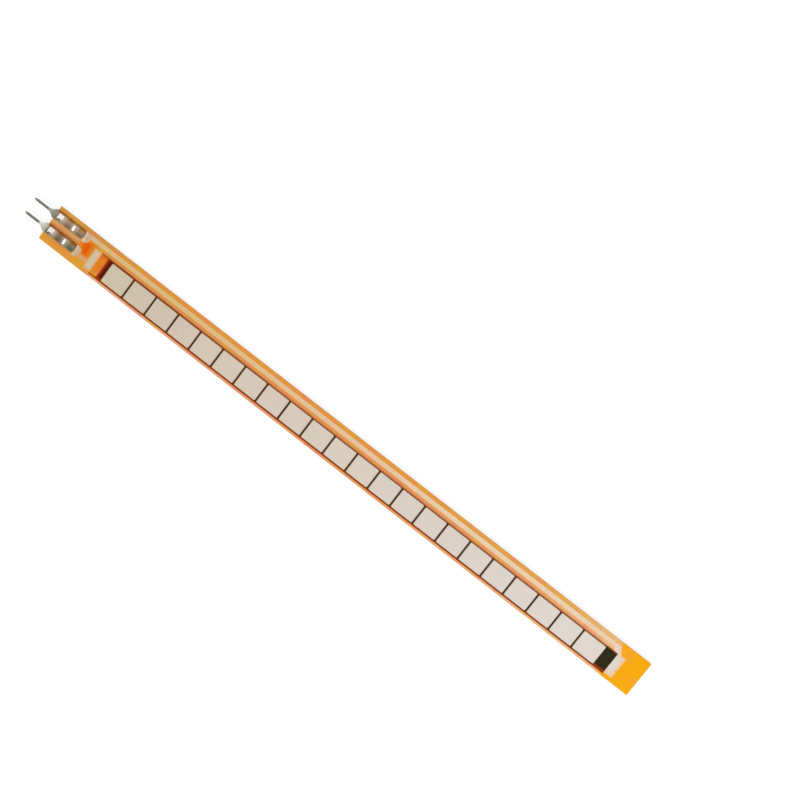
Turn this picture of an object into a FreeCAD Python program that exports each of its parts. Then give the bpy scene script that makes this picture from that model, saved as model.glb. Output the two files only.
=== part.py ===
# Film flex sensor: an amber film strip printed on its upper face, with two crimped pin contacts at one end.
# Millimetres. The strip lies flat along X, pins towards -X, +Z up. The origin is the middle of the whole
# outline, at the level of the lowest point, which is the underside of the clenched contact prongs.

import FreeCAD
import Part
import math
import os

# Film
film_length = 112.24
film_width = 6.00
film_thickness = 0.30

# Printed layers, all on the upper face
silver_thickness = 0.04
carbon_thickness = 0.07
tile_thickness = 0.06

# Contacts: stamped pin contacts, crimped through the film
pin_pitch = 2.54
pin_reach = 3.95
pin_width = 0.38
pin_tip_length = 0.40
pin_tip_width = 0.18
pin_tip_depth = 0.14
flare_length = 1.20
shoulder_width = 1.50
shoulder_reach = 0.22
shoulder_seat = 0.12
shoulder_taper = 0.18
body_width = 1.34
body_length = 5.46
body_corner_radius = 0.22
body_edge_height = 0.15
body_crown_height = 0.30
bend_rounding = 0.09

# Window that the front prong was cut from, and the raised bead behind it
window_start = 0.68
window_length = 0.62
window_rail = 0.23
window_corner_radius = 0.12
bead_x = 3.58
bead_inset = 0.14
bead_radius = 0.30
bead_rise = 0.12

# Prongs that pierce the film and are clenched against its underside
prong_thickness = 0.15
prong_root = 0.06
end_prong_width = 0.52
end_curl_radius = 0.32
side_prong_width = 0.38
side_curl_radius = 0.25
side_prong_x = 2.50
side_prong_pitch = 1.00
prong_clearance = 0.03

# Printed pads under the contacts, and what leads from them
pad_setback = 0.15
pad_width = 1.70
pad_overrun = 1.15
pad_end_radius = 0.75
return_edge_margin = 0.61
return_trace_width = 0.72
trace_overlap = 0.60
link_width = 0.60
link_offset_y = 0.33
link_length = 1.395
link_overlap = 0.50

# Start electrode, and the resistive strip from there to the end pad
electrode_length = 1.33
runner_length = 1.29
runner_width = 0.20
trace_gap = 0.51
strip_edge_margin = 0.39
strip_lead_in = 0.92
strip_run_out = 1.99
run_out_blob_radius = 0.20
run_out_blob_x = 66.50

# Tiles: the row of silver fields on the resistive strip
tile_count = 22
tile_gap = 0.28
tile_side_margin = 0.26
tile_corner_radius = 0.22

# End pad, where the return trace turns the corner
end_pad_overlap = 1.12
end_pad_slant = 0.40
end_pad_exposed = 1.37
end_corner_inset = 0.75
end_corner_run = 0.80
end_pad_rise = 0.04
bare_tail = 3.45

# Levels
film_bottom_z = max(end_curl_radius, side_curl_radius)
film_top_z = film_bottom_z + film_thickness
silver_top_z = film_top_z + silver_thickness
carbon_top_z = film_top_z + carbon_thickness
tile_top_z = carbon_top_z + tile_thickness
contact_top_z = silver_top_z + body_crown_height + bead_rise

# Places along the strip, worked out from the film's edge at the contacts
edge_x = (pin_reach - film_length) / 2
tail_x = edge_x + film_length
pad_end_x = edge_x + body_length + pad_overrun
electrode_start_x = pad_end_x + link_length
electrode_end_x = electrode_start_x + electrode_length
strip_start_x = electrode_end_x + runner_length
first_tile_x = strip_start_x + strip_lead_in
end_pad_end_x = tail_x - bare_tail
strip_end_x = end_pad_end_x - end_pad_exposed
end_pad_start_x = strip_end_x - end_pad_overlap
last_tile_x = strip_end_x - strip_run_out
tile_pitch = (last_tile_x - first_tile_x + tile_gap) / tile_count

# Places across the strip
film_half = film_width / 2
trace_outer_y = film_half - return_edge_margin
trace_inner_y = trace_outer_y - return_trace_width
strip_high_y = trace_inner_y - trace_gap
strip_low_y = strip_edge_margin - film_half
tile_high_y = strip_high_y - tile_side_margin
tile_low_y = strip_low_y + tile_side_margin
return_contact_y = trace_outer_y - pad_width / 2
start_contact_y = return_contact_y - pin_pitch
window_width = body_width - 2 * window_rail
bead_span = body_width - 2 * bead_inset


def block(x0, x1, y0, y1, z0, z1):
    return Part.makeBox(x1 - x0, y1 - y0, z1 - z0, FreeCAD.Vector(x0, y0, z0))


def upright_edges(shape, x=None):
    """The edges that run along Z, all of them or those at one x."""
    found = []
    for edge in shape.Edges:
        low, high = edge.BoundBox.ZMin, edge.BoundBox.ZMax
        if high - low < 1e-6 or edge.BoundBox.XLength > 1e-6 or edge.BoundBox.YLength > 1e-6:
            continue
        if x is None or abs(edge.BoundBox.XMin - x) < 1e-6:
            found.append(edge)
    return found


def rounded_block(x0, x1, y0, y1, z0, z1, radius):
    plain = block(x0, x1, y0, y1, z0, z1)
    return plain.makeFillet(radius, upright_edges(plain))


def prism(edges, travel):
    """A solid from a closed outline of edges, pushed along a vector."""
    return Part.Face(Part.Wire(edges)).extrude(travel)


def line(a, b):
    return Part.LineSegment(a, b).toShape()


def arc(a, middle, b):
    return Part.Arc(a, middle, b).toShape()


def polygon_prism(points, travel):
    closed = points + [points[0]]
    return prism([line(a, b) for a, b in zip(closed[:-1], closed[1:])], travel)


def contact_outline(y):
    """The contact seen from above: pointed pin, trumpet flare, shoulders and body, as a tall prism."""
    tip_x = edge_x - pin_reach
    pin_x = tip_x + pin_tip_length
    flare_end_x = edge_x - shoulder_reach
    flare_x = flare_end_x - flare_length
    shoulder_end_x = edge_x + shoulder_seat
    body_x = shoulder_end_x + shoulder_taper
    end_x = edge_x + body_length
    spread = (shoulder_width - pin_width) / 2
    radius = (flare_length**2 + spread**2) / (2 * spread)
    turn = math.asin(flare_length / radius) / 2
    half_x = flare_x + radius * math.sin(turn)
    half_spread = pin_width / 2 + radius * (1 - math.cos(turn))
    corner = body_corner_radius
    corner_inset = corner * (1 - math.sqrt(0.5))

    def side(sign):
        def at(x, half):
            return FreeCAD.Vector(x, y + sign * half, 0)

        half = body_width / 2
        return [
            line(at(tip_x, pin_tip_width / 2), at(pin_x, pin_width / 2)),
            line(at(pin_x, pin_width / 2), at(flare_x, pin_width / 2)),
            arc(at(flare_x, pin_width / 2), at(half_x, half_spread), at(flare_end_x, shoulder_width / 2)),
            line(at(flare_end_x, shoulder_width / 2), at(shoulder_end_x, shoulder_width / 2)),
            line(at(shoulder_end_x, shoulder_width / 2), at(body_x, half)),
            line(at(body_x, half), at(end_x - corner, half)),
            arc(at(end_x - corner, half), at(end_x - corner_inset, half - corner_inset), at(end_x, half - corner)),
        ]

    tip = line(
        FreeCAD.Vector(tip_x, y - pin_tip_width / 2, 0),
        FreeCAD.Vector(tip_x, y + pin_tip_width / 2, 0),
    )
    end_half = body_width / 2 - corner
    end = line(FreeCAD.Vector(end_x, y - end_half, 0), FreeCAD.Vector(end_x, y + end_half, 0))
    outline = Part.sortEdges([tip] + side(1) + [end] + side(-1))[0]
    return prism(outline, FreeCAD.Vector(0, 0, contact_top_z))


def crowned_bar(y):
    """The body's cross-section, flat below and crowned above, along the whole contact."""
    half = shoulder_width / 2
    x = edge_x - pin_reach
    low_left = FreeCAD.Vector(x, y - half, silver_top_z)
    low_right = FreeCAD.Vector(x, y + half, silver_top_z)
    high_left = FreeCAD.Vector(x, y - half, silver_top_z + body_edge_height)
    high_right = FreeCAD.Vector(x, y + half, silver_top_z + body_edge_height)
    crown = FreeCAD.Vector(x, y, silver_top_z + body_crown_height)
    edges = [
        line(low_left, low_right),
        line(low_right, high_right),
        arc(high_right, crown, high_left),
        line(high_left, low_left),
    ]
    return prism(edges, FreeCAD.Vector(pin_reach + body_length, 0, 0))


def pin_point(y):
    """The contact seen from the side: the pin's end tapers above and below."""
    tip_x = edge_x - pin_reach
    pin_x = tip_x + pin_tip_length
    end_x = edge_x + body_length
    low_z = silver_top_z
    high_z = silver_top_z + body_crown_height
    middle_z = (low_z + high_z) / 2
    outline = [
        (tip_x, middle_z - pin_tip_depth / 2),
        (pin_x, low_z),
        (end_x, low_z),
        (end_x, high_z),
        (pin_x, high_z),
        (tip_x, middle_z + pin_tip_depth / 2),
    ]
    points = [FreeCAD.Vector(x, y - shoulder_width, z) for x, z in outline]
    return polygon_prism(points, FreeCAD.Vector(0, 2 * shoulder_width, 0))


def prong(leg, inward, width, curl_radius):
    """A prong of one width: a leg down through the film and a half-round curl back up to its underside."""
    across = FreeCAD.Vector(-inward.y, inward.x, 0)
    start = leg - across * (width / 2)

    def at(run, z):
        return start + inward * run + FreeCAD.Vector(0, 0, z)

    inner = curl_radius - prong_thickness
    root_z = silver_top_z + prong_root
    edges = [
        line(at(0, root_z), at(0, film_bottom_z)),
        arc(at(0, film_bottom_z), at(curl_radius, film_bottom_z - curl_radius), at(2 * curl_radius, film_bottom_z)),
        line(at(2 * curl_radius, film_bottom_z), at(2 * curl_radius - prong_thickness, film_bottom_z)),
        arc(
            at(2 * curl_radius - prong_thickness, film_bottom_z),
            at(curl_radius, film_bottom_z - inner),
            at(prong_thickness, film_bottom_z),
        ),
        line(at(prong_thickness, film_bottom_z), at(prong_thickness, root_z)),
        line(at(prong_thickness, root_z), at(0, root_z)),
    ]
    return prism(edges, across * width)


def prong_places(y):
    """Leg, direction of the curl, width and curl radius of the six prongs of the contact at y."""
    back = FreeCAD.Vector(-1, 0, 0)
    window_end_x = edge_x + window_start + window_length
    places = [
        (FreeCAD.Vector(window_end_x + prong_thickness, y, 0), back, end_prong_width, end_curl_radius),
        (FreeCAD.Vector(edge_x + body_length, y, 0), back, end_prong_width, end_curl_radius),
    ]
    for row in range(2):
        x = edge_x + side_prong_x + row * side_prong_pitch
        for sign in (-1, 1):
            leg = FreeCAD.Vector(x, y + sign * body_width / 2, 0)
            places.append((leg, FreeCAD.Vector(0, -sign, 0), side_prong_width, side_curl_radius))
    return places


def prong_slots(y):
    """What the six legs take out of the pad and the film, with their clearance."""
    slots = []
    for leg, inward, width, _ in prong_places(y):
        across = FreeCAD.Vector(-inward.y, inward.x, 0)
        reach = width / 2 + prong_clearance
        a = leg - inward * prong_clearance - across * reach
        b = leg + inward * (prong_thickness + prong_clearance) + across * reach
        x0, x1 = sorted((a.x, b.x))
        y0, y1 = sorted((a.y, b.y))
        slots.append(block(x0, x1, y0, y1, 0, tile_top_z))
    return slots


def top_edges(shape, x):
    """The edges of the upper surface that cross the body at one x."""
    found = []
    for edge in shape.Edges:
        box = edge.BoundBox
        if abs(box.XMin - x) < 1e-6 and box.XLength < 1e-6 and box.ZMin > silver_top_z + body_edge_height:
            found.append(edge)
    return found


def bead(y):
    """A raised bead across the body, with round ends."""
    level = contact_top_z - bead_radius
    reach = bead_span / 2 - math.sqrt(bead_radius**2 - (bead_radius - bead_rise) ** 2)
    x = edge_x + bead_x
    bar = Part.makeCylinder(
        bead_radius, 2 * reach, FreeCAD.Vector(x, y - reach, level), FreeCAD.Vector(0, 1, 0)
    )
    ends = [Part.makeSphere(bead_radius, FreeCAD.Vector(x, y + sign * reach, level)) for sign in (-1, 1)]
    above_seat = block(
        x - bead_radius, x + bead_radius, y - bead_span / 2, y + bead_span / 2, silver_top_z, contact_top_z
    )
    return bar.fuse(ends).common(above_seat)


def contact(y):
    """One stamped contact: pin, flare, crowned body with window and bead, and six clenched prongs."""
    stamping = contact_outline(y).common(crowned_bar(y)).common(pin_point(y))
    window_end_x = edge_x + window_start + window_length
    window = rounded_block(
        edge_x + window_start,
        window_end_x,
        y - window_width / 2,
        y + window_width / 2,
        0,
        contact_top_z,
        window_corner_radius,
    )
    stamping = stamping.cut(window)
    bends = top_edges(stamping, window_end_x) + top_edges(stamping, edge_x + body_length)
    stamping = stamping.makeFillet(bend_rounding, bends)
    pieces = [prong(*place) for place in prong_places(y)]
    return stamping.fuse(pieces + [bead(y)]).removeSplitter()


def base_film():
    film = block(edge_x, tail_x, -film_half, film_half, film_bottom_z, film_top_z)
    return film.cut(prong_slots(return_contact_y) + prong_slots(start_contact_y))


def pad(y):
    """The printed pad under one contact, round at its far end."""
    plain = block(edge_x + pad_setback, pad_end_x, y - pad_width / 2, y + pad_width / 2, film_top_z, silver_top_z)
    return plain.makeFillet(pad_end_radius, upright_edges(plain, pad_end_x))


def return_conductor():
    """Pad, long return trace and end pad, printed in one."""
    start_x = pad_end_x - pad_end_radius - trace_overlap
    trace = block(start_x, end_pad_start_x, trace_inner_y, trace_outer_y, film_top_z, silver_top_z)
    pad_high_y = strip_high_y + end_pad_rise
    corner_x = end_pad_end_x - end_corner_inset
    outline = [
        (end_pad_start_x + end_pad_slant, tile_low_y),
        (end_pad_end_x, tile_low_y),
        (end_pad_end_x, pad_high_y),
        (corner_x, pad_high_y),
        (corner_x - end_corner_run, trace_outer_y),
        (end_pad_start_x, trace_outer_y),
        (end_pad_start_x, trace_inner_y),
        (end_pad_start_x + end_pad_slant, strip_high_y),
    ]
    points = [FreeCAD.Vector(x, y, film_top_z) for x, y in outline]
    end_pad = polygon_prism(points, FreeCAD.Vector(0, 0, silver_thickness))
    whole = pad(return_contact_y).fuse([trace, end_pad]).removeSplitter()
    return whole.cut(prong_slots(return_contact_y))


def start_conductor():
    """Pad, short link and start electrode, printed in one."""
    link_y = start_contact_y - link_offset_y
    link = block(
        pad_end_x - link_overlap,
        electrode_start_x + link_overlap,
        link_y - link_width / 2,
        link_y + link_width / 2,
        film_top_z,
        silver_top_z,
    )
    electrode = block(electrode_start_x, electrode_end_x, tile_low_y, strip_high_y, film_top_z, silver_top_z)
    whole = pad(start_contact_y).fuse([link, electrode]).removeSplitter()
    return whole.cut(prong_slots(start_contact_y))


def resistive_strip(end_conductor):
    """The dark strip under the tiles, with two runners to the start electrode, laid over the end pad."""
    strip = block(strip_start_x, strip_end_x, strip_low_y, strip_high_y, film_top_z, carbon_top_z)
    high = block(electrode_end_x, strip_start_x, strip_high_y - runner_width, strip_high_y, film_top_z, carbon_top_z)
    low = block(electrode_end_x, strip_start_x, strip_low_y, strip_low_y + runner_width, film_top_z, carbon_top_z)
    blob = Part.makeCylinder(
        run_out_blob_radius, carbon_thickness, FreeCAD.Vector(edge_x + run_out_blob_x, strip_high_y, film_top_z)
    )
    return strip.fuse([high, low, blob]).removeSplitter().cut(end_conductor)


def tile(number):
    x = first_tile_x + (number - 1) * tile_pitch
    return rounded_block(
        x, x + tile_pitch - tile_gap, tile_low_y, tile_high_y, carbon_top_z, tile_top_z, tile_corner_radius
    )


def build():
    parts = {
        "base_film": base_film(),
        "return_conductor": return_conductor(),
        "start_conductor": start_conductor(),
        "return_contact": contact(return_contact_y),
        "start_contact": contact(start_contact_y),
    }
    parts["resistive_strip"] = resistive_strip(parts["return_conductor"])
    for number in range(1, tile_count + 1):
        parts[f"tile_{number:02d}"] = tile(number)
    return parts


os.makedirs("parts", exist_ok=True)
for name, shape in build().items():
    print(name, "solids", len(shape.Solids), "valid", shape.isValid(), "volume", round(shape.Volume, 4))
    shape.exportStep(f"parts/{name}.step")
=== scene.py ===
import math

import bpy
from mathutils import Matrix, Vector


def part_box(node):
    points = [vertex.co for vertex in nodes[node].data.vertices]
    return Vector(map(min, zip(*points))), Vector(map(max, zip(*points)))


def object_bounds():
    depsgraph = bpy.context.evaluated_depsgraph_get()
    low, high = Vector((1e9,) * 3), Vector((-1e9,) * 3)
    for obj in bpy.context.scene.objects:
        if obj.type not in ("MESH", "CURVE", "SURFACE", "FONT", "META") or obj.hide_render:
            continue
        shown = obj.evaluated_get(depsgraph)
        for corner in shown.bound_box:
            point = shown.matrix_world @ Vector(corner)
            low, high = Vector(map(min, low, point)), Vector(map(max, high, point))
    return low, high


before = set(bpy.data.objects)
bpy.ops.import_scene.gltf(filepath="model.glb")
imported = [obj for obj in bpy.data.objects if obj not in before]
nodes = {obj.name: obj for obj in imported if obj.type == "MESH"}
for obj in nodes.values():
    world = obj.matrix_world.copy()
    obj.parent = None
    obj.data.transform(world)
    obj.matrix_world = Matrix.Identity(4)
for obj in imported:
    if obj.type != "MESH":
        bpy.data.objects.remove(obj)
cad_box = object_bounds()

MM = 0.001
WHITE = (1.0, 1.0, 1.0, 1.0)
TILE_COUNT = 22
tiles = ["tile_%02d" % number for number in range(1, TILE_COUNT + 1)]
film_low, film_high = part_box("base_film")
strip_low, strip_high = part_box("resistive_strip")
return_low, return_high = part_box("return_conductor")
start_low, start_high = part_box("start_conductor")
return_contact_low, return_contact_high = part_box("return_contact")
start_contact_low, start_contact_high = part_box("start_contact")
first_tile_low, first_tile_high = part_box(tiles[0])
last_tile_low, last_tile_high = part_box(tiles[-1])


# Places on the strip in metres; a rectangle is given as low x, high x, low y, high y

RETURN_AXIS_Y = (return_contact_low.y + return_contact_high.y) / 2
START_AXIS_Y = (start_contact_low.y + start_contact_high.y) / 2
AXIS_Y = (RETURN_AXIS_Y + START_AXIS_Y) / 2
HALF_PITCH = (RETURN_AXIS_Y - START_AXIS_Y) / 2
CONTACT_END_X = return_contact_high.x
CONTACT_TOP_Z = return_contact_high.z
WINDOW_X = film_low.x + 0.99 * MM
WINDOW_RIM_X = film_low.x + 1.4 * MM
BEAD_X = film_low.x + 3.7 * MM

PAD_HALF_WIDTH = 0.85 * MM
PAD_END_RADIUS = 0.75 * MM
PAD_END_X = CONTACT_END_X + 1.15 * MM
RETURN_PAD = (return_low.x, PAD_END_X, RETURN_AXIS_Y - PAD_HALF_WIDTH, RETURN_AXIS_Y + PAD_HALF_WIDTH)
START_PAD = (start_low.x, PAD_END_X, START_AXIS_Y - PAD_HALF_WIDTH, START_AXIS_Y + PAD_HALF_WIDTH)

# The strip's box includes a round blob that stands out from the strip's high edge by its radius
BLOB_RADIUS = 0.20 * MM
STRIP_HIGH_Y = strip_high.y - BLOB_RADIUS
BAND = (strip_low.x + 1.29 * MM, strip_high.x, strip_low.y, STRIP_HIGH_Y)
RUNNER_WIDTH = 0.20 * MM
BETWEEN_RUNNERS = (start_high.x, BAND[0], strip_low.y + RUNNER_WIDTH, STRIP_HIGH_Y - RUNNER_WIDTH)
ELECTRODE = (start_high.x - 1.33 * MM, start_high.x, start_low.y, start_high.y)
END_PAD = (strip_high.x - 1.12 * MM, return_high.x, return_low.y, STRIP_HIGH_Y + 0.04 * MM)
END_CORNER_X = return_high.x - 0.75 * MM

# The trace and the link end inside the pads and the electrode that they join
TRACE = (PAD_END_X - 1.0 * MM, END_PAD[0] + 0.8 * MM, return_high.y - 0.72 * MM, return_high.y)
LINK = (PAD_END_X - 0.5 * MM, ELECTRODE[0] + 0.1 * MM, START_AXIS_Y - 0.63 * MM, START_AXIS_Y - 0.03 * MM)

TILE_LENGTH = first_tile_high.x - first_tile_low.x
TILE_PITCH = (last_tile_low.x - first_tile_low.x) / (TILE_COUNT - 1)

# Where the film, the silver and the carbon change colour, and where shadow and highlight are painted
DEEP_FIELD = (-48.6 * MM, -46.1 * MM, -0.9 * MM, 1.5 * MM)
DEEP_CORE = (-48.0 * MM, -46.75 * MM, -0.75 * MM, 1.15 * MM)
# Painted shadow of the contacts lies between the pads and outside the return pad
BETWEEN_PADS = (film_low.x - MM, CONTACT_END_X, -0.3 * MM, 0.9 * MM)
SHADOW_OUTSIDE_RETURN_PAD = (film_low.x - MM, CONTACT_END_X, 2.3 * MM, 2.5 * MM)
LOW_MARGIN_Y = strip_low.y - 0.09 * MM
LOW_MARGIN_RUN = (-43.8 * MM, 51.0 * MM)
HIGH_MARGIN_RUN = (-38.0 * MM, 44.0 * MM)
HIGH_MARGIN_TURN = (15.0 * MM, 45.0 * MM)
WARM_BY_LINK = (-47.9 * MM, ELECTRODE[0], START_PAD[2], START_PAD[3])
# A painted highlight on the silver by the return contact's end
HIGHLIGHT_BY_RETURN_CONTACT = (CONTACT_END_X, -48.1 * MM, 0.6 * MM, 1.25 * MM)
FEATHERED_RUN = (-44.0 * MM, -4.0 * MM)

# How wide a field's edge is, where the field doesn't give its own
SOFT_EDGE = 0.04 * MM


# Node trees: a socket that takes part in sums, and a sheet that nodes are written on

class Amount:
    """A number, colour or shader on its way through a node tree."""

    def __init__(self, sheet, socket):
        self.sheet = sheet
        self.socket = socket

    def math(self, operation, *values, clamp=False):
        settings = {"operation": operation, "use_clamp": clamp}
        return self.sheet.node("ShaderNodeMath", settings, dict(enumerate(values)))

    def __add__(self, other):
        return self.math("ADD", self, other)

    __radd__ = __add__

    def __sub__(self, other):
        return self.math("SUBTRACT", self, other)

    def __rsub__(self, other):
        return self.math("SUBTRACT", other, self)

    def __mul__(self, other):
        return self.math("MULTIPLY", self, other)

    __rmul__ = __mul__

    def __truediv__(self, other):
        return self.math("DIVIDE", self, other)

    def __rtruediv__(self, other):
        return self.math("DIVIDE", other, self)

    def __abs__(self):
        return self.math("ABSOLUTE", self)

    def sign(self):
        return self.math("SIGN", self)

    def fraction(self):
        return self.math("FRACT", self)

    def at_least(self, other):
        return self.math("MAXIMUM", self, other)

    def at_most(self, other):
        return self.math("MINIMUM", self, other)

    def rise(self, start, end):
        """0 below start, 1 above end, and straight between them."""
        return self.math("ADD", (self - start) / (end - start), 0.0, clamp=True)


def set_stops(elements, stops):
    """Gives a colour ramp its stops, each a position from 0 to 1 and a colour."""
    while len(elements) > 1:
        elements.remove(elements[-1])
    for position, colour in stops[1:]:
        elements.new(position).color = colour
    elements[0].position, elements[0].color = stops[0]


class Sheet:
    """The node tree of the world, or of one material."""

    def __init__(self, owner):
        self.owner = owner
        owner.use_nodes = True
        self.tree = owner.node_tree
        self.tree.nodes.clear()

    def node(self, kind, settings, inputs, out=0):
        """Adds a node and gives one of its outputs, or the node itself where it has none."""
        made = self.tree.nodes.new(kind)
        for name, value in settings.items():
            if name == "stops":
                set_stops(made.color_ramp.elements, value)
            else:
                setattr(made, name, value)
        for key, value in inputs.items():
            if isinstance(value, Amount):
                self.tree.links.new(value.socket, made.inputs[key])
            else:
                made.inputs[key].default_value = value
        return Amount(self, made.outputs[out]) if made.outputs else made

    def seen_directly(self):
        """1 for rays from the camera, and for what metal and clear surfaces show."""
        names = ("Is Camera Ray", "Is Glossy Ray", "Is Transmission Ray")
        camera, glossy, through = (self.node("ShaderNodeLightPath", {}, {}, name) for name in names)
        return camera.at_least(glossy).at_least(through)


class Finish(Sheet):
    """One procedural material, with the object's own coordinates at hand."""

    def __init__(self, name):
        super().__init__(bpy.data.materials.new(name))
        self.place = self.node("ShaderNodeTexCoord", {}, {}, "Object")
        self.x = self.axis("X", self.place)
        self.y = self.axis("Y", self.place)
        self.z = self.axis("Z", self.place)

    def axis(self, name, vector):
        return self.node("ShaderNodeSeparateXYZ", {}, {"Vector": vector}, name)

    def facing_up(self):
        """1 where the surface faces up, 0 on its sides, -1 where it faces down."""
        return self.axis("Z", self.node("ShaderNodeNewGeometry", {}, {}, "Normal"))

    def ramp(self, amount, *stops):
        """A colour that runs through the stops as amount goes from 0 to 1."""
        return self.node("ShaderNodeValToRGB", {"stops": stops}, {"Fac": amount})

    def mixed(self, amount, first, second):
        """The first colour where amount is 0, the second where it is 1."""
        return self.node("ShaderNodeMix", {"data_type": "RGBA"}, {0: amount, 6: first, 7: second}, 2)

    def shaded(self, colour, amount):
        """A colour times a grey amount."""
        grey = self.node("ShaderNodeCombineColor", {}, {"Red": amount, "Green": amount, "Blue": amount})
        settings = {"data_type": "RGBA", "blend_type": "MULTIPLY"}
        return self.node("ShaderNodeMix", settings, {0: 1.0, 6: colour, 7: grey}, 2)

    def speckle(self, size, detail=2.0, stretch=(1.0, 1.0, 1.0), roughness=0.5, shift=0.0):
        """Noise whose features are about size metres across, longer where stretch is more."""
        scale = [1 / (size * s) for s in stretch]
        sockets = {"Vector": self.place, "Scale": scale, "Location": (shift, shift / 3, 0.0)}
        spread = self.node("ShaderNodeMapping", {}, sockets)
        sockets = {"Vector": spread, "Scale": 1.0, "Detail": detail, "Roughness": roughness}
        return self.node("ShaderNodeTexNoise", {}, sockets)

    def depth_inside(self, low_x, high_x, low_y, high_y):
        """How far inside a rectangle seen from above, in metres."""
        across = (self.y - low_y).at_most(high_y - self.y)
        return (self.x - low_x).at_most(high_x - self.x).at_most(across)

    def field(self, low_x, high_x, low_y, high_y, soft=SOFT_EDGE):
        """1 inside a rectangle seen from above, 0 outside it, with a soft edge."""
        return self.depth_inside(low_x, high_x, low_y, high_y).rise(-soft / 2, soft / 2)

    def pad(self, low_x, high_x, low_y, high_y):
        """1 inside a contact pad seen from above, which has round corners at its far end."""
        past = (self.x - (high_x - PAD_END_RADIUS)).at_least(0.0)
        aside = (abs(self.y - (low_y + high_y) / 2) - ((high_y - low_y) / 2 - PAD_END_RADIUS)).at_least(0.0)
        spread = self.node("ShaderNodeCombineXYZ", {}, {"X": past, "Y": aside})
        from_centre = self.node("ShaderNodeVectorMath", {"operation": "LENGTH"}, {0: spread}, "Value")
        depth = self.depth_inside(low_x, high_x, low_y, high_y).at_most(PAD_END_RADIUS - from_centre)
        return depth.rise(-SOFT_EDGE / 2, SOFT_EDGE / 2)

    def end_pad_depth(self):
        """How far inside the end pad, in metres, with the slanted corner where the return trace joins it."""
        to_top = END_PAD[3] - self.y
        corner = ((END_CORNER_X - self.x) * 0.83 + to_top * 0.56).at_least(to_top)
        return (END_PAD[1] - self.x).at_most(self.y - END_PAD[2]).at_most(corner)

    def fading(self, low_x, high_x, run):
        """1 between two places along the strip, and down to 0 over a run before and after them."""
        return self.x.rise(low_x - run, low_x).at_most(1 - self.x.rise(high_x, high_x + run))

    def contact_offset(self):
        """Distance from the nearer contact's axis in metres, more towards the return trace."""
        across = self.y - AXIS_Y
        return across - across.sign() * HALF_PITCH

    def bump(self, height, depth, strength=1.0, under=None):
        sockets = {"Height": height, "Distance": depth, "Strength": strength}
        if under is not None:
            sockets["Normal"] = under
        return self.node("ShaderNodeBump", {}, sockets)

    def surface(self, **sockets):
        names = {name.replace("_", " "): value for name, value in sockets.items()}
        return self.finished(self.node("ShaderNodeBsdfPrincipled", {}, names))

    def finished(self, shader):
        self.node("ShaderNodeOutputMaterial", {}, {"Surface": shader})
        return self.owner


def tint(red, green, blue):
    """A colour as a screen shows it, 0 to 255, in the linear numbers that a shader takes."""
    def linear(level):
        share = level / 255
        return share / 12.92 if share <= 0.04045 else ((share + 0.055) / 1.055) ** 2.4

    return (linear(red), linear(green), linear(blue), 1.0)


def dress(names, material):
    """Puts the material in every slot of the named nodes."""
    for name in names:
        slots = nodes[name].data.materials
        if len(slots) == 0:
            slots.append(material)
        for index in range(len(slots)):
            slots[index] = material


# The amber film

def film_by_contacts(f, film, along):
    """Painted light: brighter on its low side by the contacts; deep orange between the link and the trace,
    warm between the runners.
    """
    by_contacts = 1 - along.rise(0.06, 0.12)
    # Painted light: the film by the contacts is lighter on its low side
    painted_light = f.mixed(f.y.rise(film_low.y, film_high.y), tint(233, 156, 54), tint(213, 147, 70))
    film = f.mixed(by_contacts * 0.8, film, painted_light)
    film = f.mixed(f.field(*DEEP_FIELD, 0.4 * MM), film, tint(231, 134, 26))
    film = f.mixed(f.field(*DEEP_CORE, 0.6 * MM), film, tint(231, 94, 0))
    by_runners = f.mixed(f.y.rise(BETWEEN_RUNNERS[2], 0.0), tint(234, 146, 36), tint(232, 108, 38))
    return f.mixed(f.field(*BETWEEN_RUNNERS, 0.3 * MM), film, by_runners)


def film_beside_print(f, film, facing):
    """The upper face's margins: pale outside the strip, deep amber outside the return trace."""
    above = facing.rise(0.4, 0.6)
    low_margin = (LOW_MARGIN_Y - f.y).rise(-0.1 * MM, 0.1 * MM) * f.fading(*LOW_MARGIN_RUN, 1.6 * MM)
    pale = f.ramp(
        f.x.rise(BAND[0], 52.0 * MM),
        (0.0, tint(238, 194, 172)),
        (0.25, tint(232, 170, 134)),
        (0.50, tint(231, 162, 104)),
        (0.80, tint(235, 186, 136)),
        (1.0, tint(237, 196, 146)),
    )
    film = f.mixed(low_margin * above * 0.8, film, pale)
    high_margin = (f.y - return_high.y).rise(-0.05 * MM, 0.05 * MM) * f.fading(*HIGH_MARGIN_RUN, 6.0 * MM)
    deep = f.mixed(f.x.rise(*HIGH_MARGIN_TURN), tint(230, 151, 54), tint(230, 166, 68))
    return f.mixed(high_margin * above * 0.8, film, deep)


def film_round_pads(f, film):
    """Pale round the end pad, a painted shadow of the start contact that fades to tan between the contacts'
    pads, and a painted shadow in brown outside the return pad.
    """
    halo = f.field(END_PAD[0], END_PAD[1] + 0.10 * MM, END_PAD[2], END_PAD[3] + 0.05 * MM, 0.16 * MM)
    film = f.mixed(halo, film, tint(240, 198, 136))
    # Painted shadow of the start contact at the low end, fading to tan
    between = f.ramp(
        f.y.rise(START_PAD[3], RETURN_PAD[2]),
        (0.0, tint(184, 98, 26)),
        (0.3, tint(212, 138, 80)),
        (0.9, tint(218, 170, 112)),
    )
    film = f.mixed(f.field(*BETWEEN_PADS, 0.3 * MM), film, between)
    # Painted shadow of the return contact on the film outside its pad
    return f.mixed(f.field(*SHADOW_OUTSIDE_RETURN_PAD, 0.1 * MM) * 0.7, film, tint(186, 116, 28))


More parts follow.
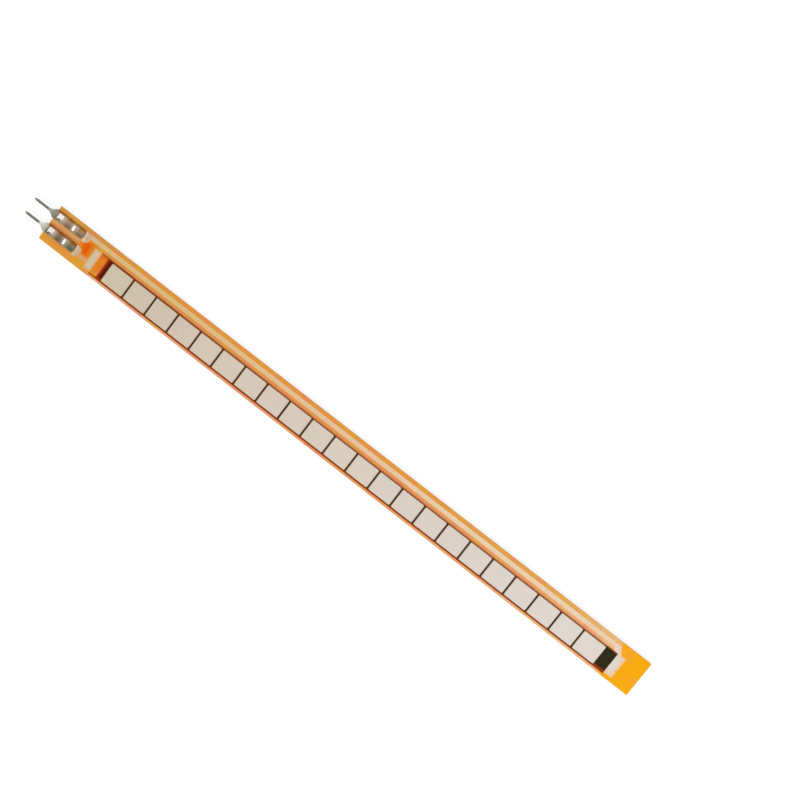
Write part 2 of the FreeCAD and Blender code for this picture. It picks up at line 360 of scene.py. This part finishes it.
def print_from_behind(f):
    """The film's lower face, with plain fields where the print on the upper face shows through."""
    end_pad = f.end_pad_depth().at_most(f.x - END_PAD[0]).at_most(return_high.y - f.y)
    high_runner = (BETWEEN_RUNNERS[0], BETWEEN_RUNNERS[1], BETWEEN_RUNNERS[3], STRIP_HIGH_Y)
    low_runner = (BETWEEN_RUNNERS[0], BETWEEN_RUNNERS[1], strip_low.y, BETWEEN_RUNNERS[2])
    behind = tint(243, 176, 34)
    for print_shows, colour in (
        (f.field(*TRACE), tint(224, 92, 24)),
        (f.field(*LINK), tint(196, 60, 22)),
        (f.pad(*RETURN_PAD), tint(190, 54, 22)),
        (f.pad(*START_PAD), tint(190, 54, 22)),
        (f.field(*ELECTRODE), tint(186, 50, 20)),
        (f.field(*high_runner), tint(92, 44, 14)),
        (f.field(*low_runner), tint(92, 44, 14)),
        (end_pad.rise(-SOFT_EDGE / 2, SOFT_EDGE / 2), tint(212, 105, 50)),
        (f.field(*BAND), tint(30, 22, 26)),
    ):
        behind = f.mixed(print_shows, behind, colour)
    return behind


def amber_film():
    """Polyimide film: amber along the print, deep orange by the contacts, yellow at the bare tail."""
    f = Finish("amber_film")
    along = f.x.rise(film_low.x, film_high.x)
    facing = f.facing_up()
    cloud = f.speckle(7 * MM, detail=3.0, stretch=(2.0, 0.5, 1.0))
    mottle = f.speckle(1.7 * MM, detail=2.0, shift=3.0)
    grain = f.speckle(0.22 * MM, detail=2.0)
    film = f.ramp(
        along,
        (0.0, tint(222, 150, 62)),
        (0.08, tint(220, 149, 62)),
        (0.15, tint(219, 147, 80)),
        (0.50, tint(230, 152, 86)),
        (0.70, tint(229, 155, 98)),
        (0.85, tint(232, 167, 108)),
        (0.945, tint(234, 187, 138)),
        (0.957, tint(246, 170, 2)),
    )
    film = film_by_contacts(f, film, along)
    film = film_beside_print(f, film, facing)
    film = film_round_pads(f, film)
    less_at_tail = 1 - along.rise(0.95, 0.96) * 0.7
    film = f.mixed((mottle - 0.53) * 3.2 * less_at_tail, film, tint(240, 130, 92))
    film = f.mixed((0.45 - mottle) * 3.2 * less_at_tail, film, tint(226, 174, 30))
    film = f.shaded(film, 0.95 + cloud * 0.06 + grain * 0.04)
    behind = f.shaded(print_from_behind(f), 0.92 + cloud * 0.12 + grain * 0.04)
    below = 1 - facing.rise(-0.6, -0.4)
    colour = f.mixed(below, film, behind)
    side = 1 - abs(facing).rise(0.4, 0.6)
    colour = f.mixed(side * 0.6, colour, tint(200, 108, 12))
    scuff = f.speckle(0.9 * MM, detail=4.0, stretch=(6.0, 0.5, 1.0), roughness=0.65)
    waves = f.bump(f.speckle(4 * MM, detail=1.0), 0.02 * MM, 0.6)
    skin = f.bump(scuff * 0.5 + grain * 0.5, 0.003 * MM, 0.5, waves)
    return f.surface(Base_Color=colour, Roughness=0.30 + scuff * 0.22, IOR=1.12, Normal=skin)


# The printed inks

def silver_round_contacts(f, colour):
    """Painted shadow in brown along the contacts' high sides, tan along their low sides, and a painted
    highlight in their windows but for one edge in painted shade.
    """
    offset = f.contact_offset()
    under_contact = 1 - f.x.rise(CONTACT_END_X - 0.05 * MM, CONTACT_END_X + 0.05 * MM)
    # Painted shadow of each contact on the silver along its high side
    shadow_side = under_contact * offset.rise(0.45 * MM, 0.60 * MM)
    low_side = under_contact * (1 - offset.rise(-0.65 * MM, -0.50 * MM))
    colour = f.mixed(shadow_side, colour, tint(168, 102, 26))
    colour = f.mixed(low_side, colour, tint(184, 148, 96))
    # Painted highlight on the silver seen through each window, with painted shade on its low edge
    window = 1 - abs(f.x - WINDOW_X).at_least(abs(offset)).rise(0.5 * MM, 0.6 * MM)
    painted_light = f.mixed(offset.rise(-0.36 * MM, -0.22 * MM), tint(150, 112, 68), tint(244, 241, 238))
    return f.mixed(window, colour, painted_light)


def silver_ink():
    """Printed silver: warm along the trace, greyer at the start electrode and at the end pad."""
    f = Finish("silver_ink")
    along = f.x.rise(film_low.x, film_high.x)
    colour = f.ramp(
        along,
        (0.0505, tint(214, 194, 166)),
        (0.0545, tint(200, 167, 142)),
        (0.059, tint(214, 180, 140)),
        (0.066, tint(218, 183, 132)),
        (0.09, tint(219, 184, 121)),
        (0.20, tint(220, 185, 122)),
        (0.50, tint(229, 193, 155)),
        (0.70, tint(228, 203, 166)),
        (0.88, tint(226, 203, 172)),
        (0.945, tint(230, 198, 164)),
        (0.957, tint(215, 208, 201)),
    )
    colour = f.mixed(f.field(*WARM_BY_LINK, 0.3 * MM), colour, tint(214, 160, 112))
    # Painted highlight on the silver by the return contact's end
    colour = f.mixed(f.field(*HIGHLIGHT_BY_RETURN_CONTACT, 0.15 * MM), colour, tint(226, 195, 150))
    in_electrode = f.depth_inside(*ELECTRODE)
    electrode = f.mixed(in_electrode.rise(0.02 * MM, 0.40 * MM), tint(223, 166, 102), tint(207, 193, 162))
    colour = f.mixed(in_electrode.rise(-0.02 * MM, 0.0), colour, electrode)
    end_rim = along.rise(0.953, 0.957) * (1 - f.end_pad_depth().rise(0.05 * MM, 0.50 * MM))
    colour = f.mixed(end_rim, colour, tint(234, 190, 142))
    colour = silver_round_contacts(f, colour)
    flake = f.speckle(0.06 * MM, detail=2.0)
    screen = f.speckle(0.5 * MM, detail=3.0, stretch=(2.5, 0.7, 1.0))
    mottle = f.speckle(1.5 * MM, detail=2.0, shift=9.0)
    colour = f.mixed((mottle - 0.53) * 1.6, colour, tint(238, 178, 132))
    colour = f.mixed(0.46 - mottle, colour, tint(214, 200, 126))
    colour = f.shaded(colour, 0.955 + flake * 0.05 + screen * 0.04)
    relief = f.bump(flake * 0.5 + screen, 0.006 * MM, 0.7)
    return f.surface(Base_Color=colour, Metallic=0.12, Roughness=0.48 + flake * 0.16, IOR=1.25, Normal=relief)


def carbon_ink():
    """Printed carbon: black at the end block, dark red where it is thin, brown along its long edges."""
    f = Finish("carbon_ink")
    grit = f.speckle(0.08 * MM, detail=3.0)
    cloud = f.speckle(1.4 * MM, detail=2.0)
    from_low = f.y - strip_low.y
    from_high = STRIP_HIGH_Y - f.y
    lead = f.x - BAND[0]
    dark = f.mixed(cloud.rise(0.35, 0.65), tint(48, 36, 12), tint(36, 40, 16))
    thin_lead = f.mixed(lead.rise(0.0, 0.45 * MM), tint(172, 62, 12), tint(94, 20, 3))
    dark = f.mixed(1 - lead.rise(0.85 * MM, 1.0 * MM), dark, thin_lead)
    block_rim = 1 - from_low.rise(0.30 * MM, 0.58 * MM).at_most(from_high.rise(0.05 * MM, 0.25 * MM))
    dark = f.mixed(block_rim, dark, tint(158, 58, 2))
    tile_rim = 1 - from_low.at_most(from_high).rise(0.20 * MM, 0.32 * MM)
    between_tiles = f.mixed(tile_rim, tint(64, 44, 12), tint(146, 58, 2))
    feathered = (1 - from_high.rise(0.04 * MM, 0.16 * MM)) * f.x.rise(*FEATHERED_RUN)
    between_tiles = f.mixed(feathered * 0.75, between_tiles, tint(222, 148, 88))
    by_tiles = f.field(first_tile_low.x, last_tile_high.x, strip_low.y, strip_high.y)
    colour = f.mixed(by_tiles, dark, between_tiles)
    runners = 1 - lead.rise(-0.05 * MM, 0.05 * MM)
    colour = f.mixed(runners, colour, tint(170, 90, 2))
    colour = f.shaded(colour, 0.88 + grit * 0.20)
    relief = f.bump(grit, 0.008 * MM, 0.8)
    return f.surface(Base_Color=colour, Roughness=0.45 + grit * 0.2, IOR=1.15, Normal=relief)


def tile_ink():
    """Printed silver tiles, a little darker and warmer towards the contacts."""
    f = Finish("tile_ink")
    flake = f.speckle(0.05 * MM, detail=2.0)
    screen = f.speckle(0.45 * MM, detail=3.0, stretch=(0.7, 2.0, 1.0))
    cloud = f.speckle(5 * MM, detail=2.0)
    along = f.x.rise(first_tile_low.x, last_tile_high.x)
    pale = f.ramp(
        along,
        (0.0, tint(206, 195, 169)),
        (0.09, tint(207, 192, 172)),
        (0.20, tint(213, 198, 181)),
        (0.50, tint(215, 203, 189)),
        (0.72, tint(215, 206, 197)),
        (1.0, tint(217, 210, 202)),
    )
    hue = f.speckle(1.3 * MM, detail=2.0, shift=7.0)
    pale = f.mixed((hue - 0.52) * 1.2, pale, tint(232, 200, 190))
    pale = f.mixed((0.46 - hue) * 1.2, pale, tint(200, 206, 170))
    from_low_end = ((f.x - first_tile_low.x) / TILE_PITCH).fraction() * TILE_PITCH
    from_end = from_low_end.at_most(TILE_LENGTH - from_low_end)
    from_side = (f.y - first_tile_low.y).at_most(first_tile_high.y - f.y)
    thin_edge = 1 - from_end.at_most(from_side * 1.5).rise(0.02 * MM, 0.12 * MM)
    pale = f.mixed(thin_edge * 0.6, pale, tint(150, 112, 70))
    colour = f.shaded(pale, 0.955 + flake * 0.04 + screen * 0.03 + cloud * 0.03)
    relief = f.bump(flake * 0.4 + screen, 0.006 * MM, 0.6)
    return f.surface(Base_Color=colour, Metallic=0.08, Roughness=0.50 + flake * 0.15, IOR=1.3, Normal=relief)


# The contacts

def contact_body(f, offset, start_side):
    """The crimped body: painted shade in brown along its edges, with oxide tints, and a painted highlight by
    the window and on the bead.
    """
    # Painted shade across the body, darker along both edges; the start contact's body is a darker, shaded
    # copy of the return contact's
    across = offset.rise(-0.67 * MM, 0.67 * MM)
    return_body = f.ramp(
        across,
        (0.0, tint(156, 124, 74)),
        (0.18, tint(128, 96, 54)),
        (0.42, tint(134, 110, 92)),
        (0.62, tint(142, 118, 98)),
        (0.84, tint(154, 114, 62)),
        (1.0, tint(146, 94, 26)),
    )
    start_body = f.ramp(
        across,
        (0.0, tint(130, 102, 52)),
        (0.18, tint(96, 90, 58)),
        (0.42, tint(100, 100, 78)),
        (0.62, tint(116, 104, 80)),
        (0.84, tint(132, 96, 54)),
        (1.0, tint(136, 84, 26)),
    )
    body = f.mixed(start_side, return_body, start_body)
    oxide = f.speckle(0.8 * MM, detail=2.0, shift=5.0)
    body = f.mixed((oxide - 0.52) * 2.4, body, tint(150, 122, 138))
    body = f.mixed((0.47 - oxide) * 2.4, body, tint(88, 124, 92))
    # Painted highlight by the window and on the bead
    highlight_by_window = 1 - abs(f.x - WINDOW_RIM_X).rise(0.3 * MM, 0.9 * MM)
    highlight_on_bead = 1 - abs(f.x - BEAD_X).rise(0.2 * MM, 0.8 * MM)
    return f.mixed(highlight_by_window.at_least(highlight_on_bead) * 0.45, body, tint(196, 180, 164))


def tinned_contact():
    """Stamped and tinned strip: dull on the pin, with painted highlights on the neck, on the tops and round
    the window, and painted shade along the body's edges.
    """
    f = Finish("tinned_contact")
    brushed = f.speckle(0.09 * MM, detail=3.0, stretch=(5.0, 0.6, 1.0))
    blotch = f.speckle(0.55 * MM, detail=3.0)
    offset = f.contact_offset()
    start_side = (AXIS_Y - f.y).rise(-0.1 * MM, 0.1 * MM)
    past_film_end = f.x - film_low.x
    pin = f.mixed(blotch, tint(96, 94, 88), tint(122, 118, 112))
    # Painted highlight on the neck over the film's edge, paler on the start contact than on the return
    # contact
    root = f.mixed(start_side, tint(146, 154, 142), tint(196, 196, 198))
    flare = f.mixed(start_side, tint(128, 128, 106), tint(172, 174, 160))
    metal = f.mixed(past_film_end.rise(-1.4 * MM, -1.0 * MM), pin, root)
    metal = f.mixed(past_film_end.rise(-0.9 * MM, -0.2 * MM), metal, flare)
    metal = f.mixed(past_film_end.rise(0.0, 0.4 * MM), metal, contact_body(f, offset, start_side))
    # Painted highlight on the contacts' tops and round the window
    highlight_on_top = (f.z - CONTACT_TOP_Z).rise(-0.095 * MM, -0.03 * MM)
    along_window = abs(f.x - WINDOW_X) / (0.42 * MM)
    across_window = abs(offset - 0.10 * MM) / (0.40 * MM)
    highlight_round_window = 1 - along_window.at_least(across_window).rise(0.85, 1.15)
    metal = f.mixed(highlight_on_top.at_least(highlight_round_window), metal, tint(240, 238, 236))
    under_film = 1 - (f.z - film_low.z).rise(-0.02 * MM, 0.08 * MM)
    metal = f.mixed(under_film, metal, tint(214, 200, 196))
    colour = f.shaded(metal, 0.9 + brushed * 0.16)
    roughness = 0.26 + brushed * 0.14 + blotch * 0.08
    relief = f.bump(brushed + blotch * 0.6, 0.006 * MM, 0.7)
    return f.surface(Base_Color=colour, Metallic=1.0, Roughness=roughness, Normal=relief)


dress(["base_film"], amber_film())
dress(["return_conductor", "start_conductor"], silver_ink())
dress(["resistive_strip"], carbon_ink())
dress(tiles, tile_ink())
dress(["return_contact", "start_contact"], tinned_contact())


# Floor and backdrop: both white to the camera, and the floor keeps the object's shadow

FLOOR_HALF_SIDE = 3.0
FLOOR_GAP = 0.02 * MM
FLOOR_GREY = 0.25
FLOOR_GLOW = 0.81
LAMPLIGHT_ENDS = (0.10, 0.35)
SKY_STRENGTH = 0.525


def pale_floor():
    """White with the object's shadow near it, and as white further out, where the lamps no longer reach."""
    f = Finish("pale_floor")
    plain = f.node("ShaderNodeBsdfDiffuse", {}, {"Color": tint(226, 226, 224)})
    shadowed = f.node("ShaderNodeBsdfDiffuse", {}, {"Color": (FLOOR_GREY, FLOOR_GREY, FLOOR_GREY, 1.0)})
    glow = f.node("ShaderNodeEmission", {}, {"Color": WHITE, "Strength": FLOOR_GLOW})
    near = f.node("ShaderNodeAddShader", {}, {0: shadowed, 1: glow})
    far = f.node("ShaderNodeEmission", {}, {"Color": WHITE, "Strength": 1.0})
    distance = f.node("ShaderNodeVectorMath", {"operation": "LENGTH"}, {0: f.place}, "Value")
    white = f.node("ShaderNodeMixShader", {}, {0: distance.rise(*LAMPLIGHT_ENDS), 1: near, 2: far})
    return f.finished(f.node("ShaderNodeMixShader", {}, {0: f.seen_directly(), 1: plain, 2: white}))


def add_floor():
    half = FLOOR_HALF_SIDE
    mesh = bpy.data.meshes.new("floor")
    corners = [(-half, -half, 0.0), (half, -half, 0.0), (half, half, 0.0), (-half, half, 0.0)]
    mesh.from_pydata(corners, [], [(0, 1, 2, 3)])
    floor = bpy.data.objects.new("floor", mesh)
    floor.location.z = cad_box[0].z - FLOOR_GAP
    mesh.materials.append(pale_floor())
    bpy.context.scene.collection.objects.link(floor)


def add_world():
    sky = Sheet(bpy.data.worlds.new("studio"))
    soft = sky.node("ShaderNodeBackground", {}, {"Color": WHITE, "Strength": SKY_STRENGTH})
    white = sky.node("ShaderNodeBackground", {}, {"Color": WHITE, "Strength": 1.0})
    shown = sky.node("ShaderNodeMixShader", {}, {0: sky.seen_directly(), 1: soft, 2: white})
    sky.node("ShaderNodeOutputWorld", {}, {"Surface": shown})
    bpy.context.scene.world = sky.owner


def add_lamp(name, place, side, power):
    """A square lamp with sides in metres and power in watts, aimed at the strip's middle."""
    light = bpy.data.lights.new(name, "AREA")
    light.shape = "SQUARE"
    light.size = side
    light.energy = power
    lamp = bpy.data.objects.new(name, light)
    lamp.location = place
    lamp.rotation_euler = (-Vector(place)).to_track_quat("-Z", "Y").to_euler()
    bpy.context.scene.collection.objects.link(lamp)


# The camera, at the photograph's angle: over the strip, leaning towards the return trace

CAMERA_AZIMUTH = math.radians(71.76)
CAMERA_TILT = math.radians(6.932)
CAMERA_ROLL = math.radians(-124.132)
CAMERA_TARGET = Vector((4.435, 11.162, 0.0)) * MM
CAMERA_DISTANCE = 224.711 * MM
CAMERA_LENS = 67.5
SENSOR_WIDTH = 36.0


def add_camera():
    lean = math.sin(CAMERA_TILT)
    back = Vector((lean * math.cos(CAMERA_AZIMUTH), lean * math.sin(CAMERA_AZIMUTH), math.cos(CAMERA_TILT)))
    level_right = Vector((-math.sin(CAMERA_AZIMUTH), math.cos(CAMERA_AZIMUTH), 0.0))
    level_up = back.cross(level_right)
    right = level_right * math.cos(CAMERA_ROLL) + level_up * math.sin(CAMERA_ROLL)
    up = level_up * math.cos(CAMERA_ROLL) - level_right * math.sin(CAMERA_ROLL)
    data = bpy.data.cameras.new("camera")
    data.sensor_width = SENSOR_WIDTH
    data.lens = CAMERA_LENS
    data.clip_start = 0.01
    data.clip_end = 20.0
    camera = bpy.data.objects.new("camera", data)
    turn = Matrix((right, up, back)).transposed().to_4x4()
    camera.matrix_world = Matrix.Translation(CAMERA_TARGET + back * CAMERA_DISTANCE) @ turn
    bpy.context.scene.collection.objects.link(camera)
    bpy.context.scene.camera = camera


add_floor()
add_world()
add_lamp("key", place=(0.20, -0.20, 0.30), side=0.14, power=0.84)
add_lamp("fill", place=(-0.26, 0.02, 0.26), side=0.16, power=0.19)
add_camera()
bpy.context.scene.view_settings.view_transform = "Standard"
